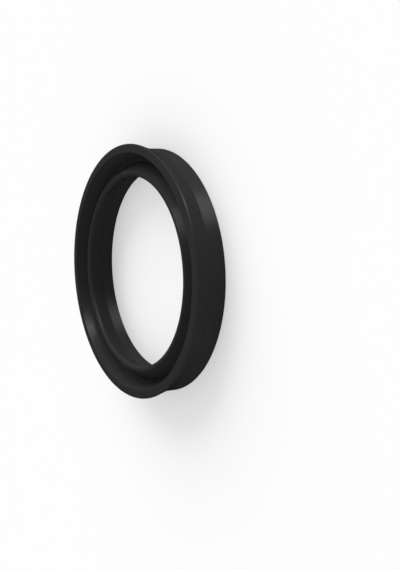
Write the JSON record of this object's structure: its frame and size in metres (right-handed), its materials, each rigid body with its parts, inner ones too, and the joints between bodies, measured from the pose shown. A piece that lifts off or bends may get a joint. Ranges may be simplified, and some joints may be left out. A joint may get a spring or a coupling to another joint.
{
  "type": "u cup seal",
  "caption": "Rod seal ring with a U-shaped section: a flat heel and two flared lips, the outer one longer, with a groove between them.",
  "frame": {"origin": "centre of the flat heel face", "axes": "+Z along the ring's axis, from the heel towards the mouth between the lips; X and Y are any two radii, as the ring is the same all round"},
  "size_m": [0.0884, 0.0884, 0.0121],
  "materials": {
    "rubber": "smooth moulded black nitrile rubber, satin"
  },
  "bodies": {
    "root": {"u_cup_seal": "rubber"}
  },
  "joints": []
}
